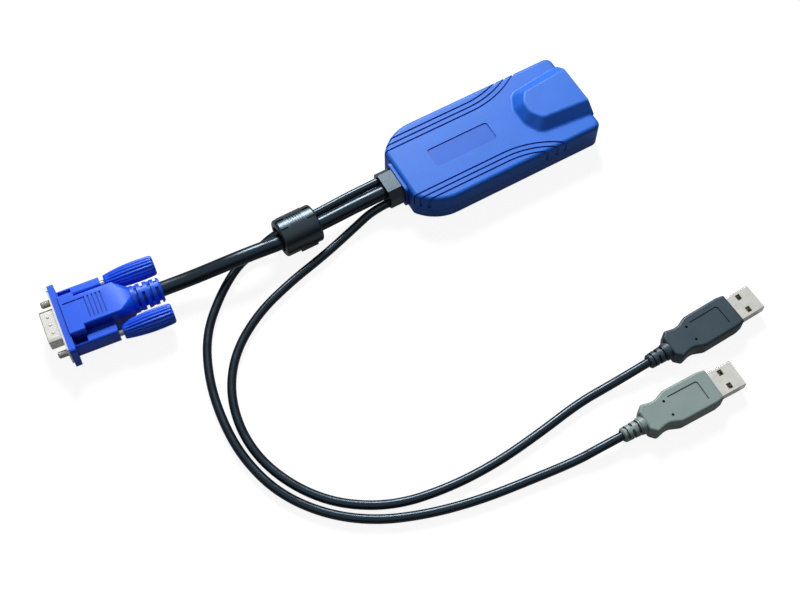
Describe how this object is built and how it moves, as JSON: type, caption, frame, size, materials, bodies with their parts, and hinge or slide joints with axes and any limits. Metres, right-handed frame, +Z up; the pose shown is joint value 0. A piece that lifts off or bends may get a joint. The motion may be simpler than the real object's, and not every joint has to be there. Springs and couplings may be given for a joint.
{
  "type": "kvm dongle",
  "caption": "Server interface module: small housing with a network socket, cables through a ferrite clip to a video plug, and USB plugs.",
  "frame": {"origin": "centre of the module's underside, housing and cable collar together", "axes": "+X from the cable collar towards the network socket, +Y to the module's far side, +Z up from the surface it lies on"},
  "size_m": [0.2664, 0.1797, 0.019],
  "materials": {
    "housing_blue": "fine moulded texture",
    "hood_blue": "satin moulding",
    "black_plastic": "satin moulding",
    "cable_black": "satin jacket",
    "charcoal_plastic": "satin moulding",
    "grey_plastic": "satin moulding",
    "nickel": "bright nickel",
    "screw_steel": "zinc plated",
    "insulator_cream": "moulded",
    "socket_black": "moulded",
    "gold_contact": "gold plated",
    "board_green": "solder mask",
    "chip_black": "moulded package",
    "can_metal": "bright can",
    "header_cream": "moulded",
    "wire_mix": "wire insulation",
    "ferrite": "sintered"
  },
  "bodies": {
    "module": {"housing_top": "housing_blue", "housing_bottom": "housing_blue", "cable_gland": "black_plastic", "circuit_board": "board_green", "housing_screws": "screw_steel", "socket_shield": "nickel", "socket_body": "socket_black", "socket_contacts": "gold_contact", "video_chip": "chip_black", "processor_chip": "chip_black", "memory_chip": "chip_black", "crystal": "can_metal", "capacitors": "can_metal", "board_headers": "header_cream", "harness_wires": "wire_mix", "clip_lower_case": "black_plastic", "ferrite_core_lower": "ferrite", "video_plug_hood": "hood_blue", "video_plug_shell": "nickel", "video_plug_insulator": "insulator_cream", "video_plug_pins": "gold_contact", "usb_black_body": "charcoal_plastic", "usb_black_shell": "nickel", "usb_black_tongue": "insulator_cream", "usb_black_contacts": "gold_contact", "usb_grey_body": "grey_plastic", "usb_grey_shell": "nickel", "usb_grey_tongue": "insulator_cream", "usb_grey_contacts": "gold_contact", "video_cable": "cable_black", "usb_grey_cable": "cable_black", "usb_black_cable": "cable_black"},
    "thumbscrew_far": {"thumbscrew_knob_far": "hood_blue", "jackscrew_far": "screw_steel"},
    "thumbscrew_near": {"thumbscrew_knob_near": "hood_blue", "jackscrew_near": "screw_steel"},
    "clip_lid": {"clip_upper_case": "black_plastic", "ferrite_core_upper": "ferrite"}
  },
  "joints": [
    {"name": "far_thumbscrew_turn", "type": "hinge", "parent": "module", "child": "thumbscrew_far", "pos_m": [-0.16675, 0.01708, 0.008], "axis": [-0.9945, 0.1049, 0], "continuous": true},
    {"name": "near_thumbscrew_turn", "type": "hinge", "parent": "module", "child": "thumbscrew_near", "pos_m": [-0.16938, -0.00778, 0.008], "axis": [-0.9945, 0.1049, 0], "continuous": true},
    {"name": "clip_lid_hinge", "type": "hinge", "parent": "module", "child": "clip_lid", "pos_m": [-0.0916, 0.00885, 0.00845], "axis": [-1, 0, 0], "range_deg": [0, 100]}
  ]
}
